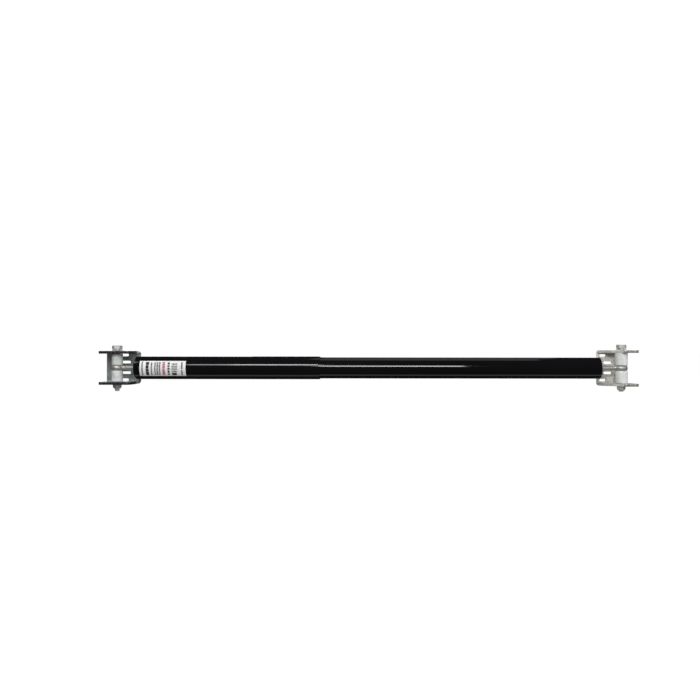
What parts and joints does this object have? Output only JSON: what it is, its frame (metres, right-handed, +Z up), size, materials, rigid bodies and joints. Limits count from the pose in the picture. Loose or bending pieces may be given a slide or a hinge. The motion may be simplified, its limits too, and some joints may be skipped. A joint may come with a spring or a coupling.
{
  "type": "telescoping gate arm",
  "caption": "Damped telescoping gate arm: two sliding black tubes between eyes on vertical pivot bolts in steel U-brackets, one for the gate and one for the post.",
  "frame": {"origin": "on the back mounting face of the post bracket, level with the arm and straight behind the post bolt", "axes": "+X along the arm from the gate to the post, +Y into the post and the gate, +Z up along the pivot bolts"},
  "size_m": [0.8936, 0.0474, 0.0784],
  "materials": {
    "black_tube": "gloss",
    "black_cap": "satin",
    "zinc_plate": "zinc plated, faintly mottled",
    "zinc_fastener": "bright zinc plated",
    "bright_steel": "bright drawn",
    "spacer_nylon": "matte",
    "insert_nylon": "satin",
    "bush_bronze": "turned",
    "alloy": "turned",
    "seal_rubber": "matte",
    "label_film": null
  },
  "bodies": {
    "post_mount": {"post_bracket": "zinc_plate", "post_bolt": "zinc_fastener", "post_washer": "zinc_fastener", "post_lock_nut": "zinc_fastener", "post_nut_insert": "insert_nylon", "post_spacer_top": "spacer_nylon", "post_spacer_bottom": "spacer_nylon"},
    "cylinder": {"post_eye": "bright_steel", "post_eye_bush": "bush_bronze", "post_end_cap": "black_cap", "post_stud_nut": "zinc_fastener", "body_tube": "black_tube", "pressure_cylinder": "bright_steel", "cylinder_base": "alloy", "fill_plug": "zinc_fastener", "rod_guide": "alloy", "rod_seal": "seal_rubber"},
    "gas_piston": {"floating_piston": "alloy", "floating_piston_ring": "seal_rubber"},
    "piston_set": {"piston": "alloy", "piston_ring": "seal_rubber", "piston_nut": "zinc_fastener", "rebound_stop": "spacer_nylon"},
    "rod_and_cover": {"piston_rod": "bright_steel", "rod_lock_nut": "zinc_fastener", "bump_stop": "seal_rubber", "gate_end_cap": "black_cap", "cover_tube": "black_tube", "label": "label_film", "gate_eye": "bright_steel", "gate_eye_bush": "bush_bronze"},
    "gate_mount": {"gate_bracket": "zinc_plate", "gate_bolt": "zinc_fastener", "gate_washer": "zinc_fastener", "gate_lock_nut": "zinc_fastener", "gate_nut_insert": "insert_nylon", "gate_spacer_top": "spacer_nylon", "gate_spacer_bottom": "spacer_nylon"}
  },
  "joints": [
    {"name": "post_pivot", "type": "hinge", "parent": "post_mount", "child": "cylinder", "pos_m": [0, -0.028, 0], "axis": [0, 0, 1], "range_deg": [-8, 120]},
    {"name": "telescope", "type": "slide", "parent": "cylinder", "child": "piston_set", "axis": [1, 0, 0], "range_m": [0, 0.18], "stiffness_N_per_m": 200, "springref_m": -0.4},
    {"name": "gas_piston_slide", "type": "slide", "parent": "cylinder", "child": "gas_piston", "axis": [1, 0, 0], "range_m": [0, 0.029]},
    {"name": "rod_swivel", "type": "hinge", "parent": "piston_set", "child": "rod_and_cover", "pos_m": [-0.6, -0.028, 0], "axis": [1, 0, 0], "continuous": true},
    {"name": "gate_pivot", "type": "hinge", "parent": "rod_and_cover", "child": "gate_mount", "pos_m": [-0.842, -0.028, 0], "axis": [0, 0, 1], "range_deg": [-6, 120]}
  ],
  "couplings": [
    {"joint": "gas_piston_slide", "follows": "telescope", "ratio": 0.16}
  ]
}
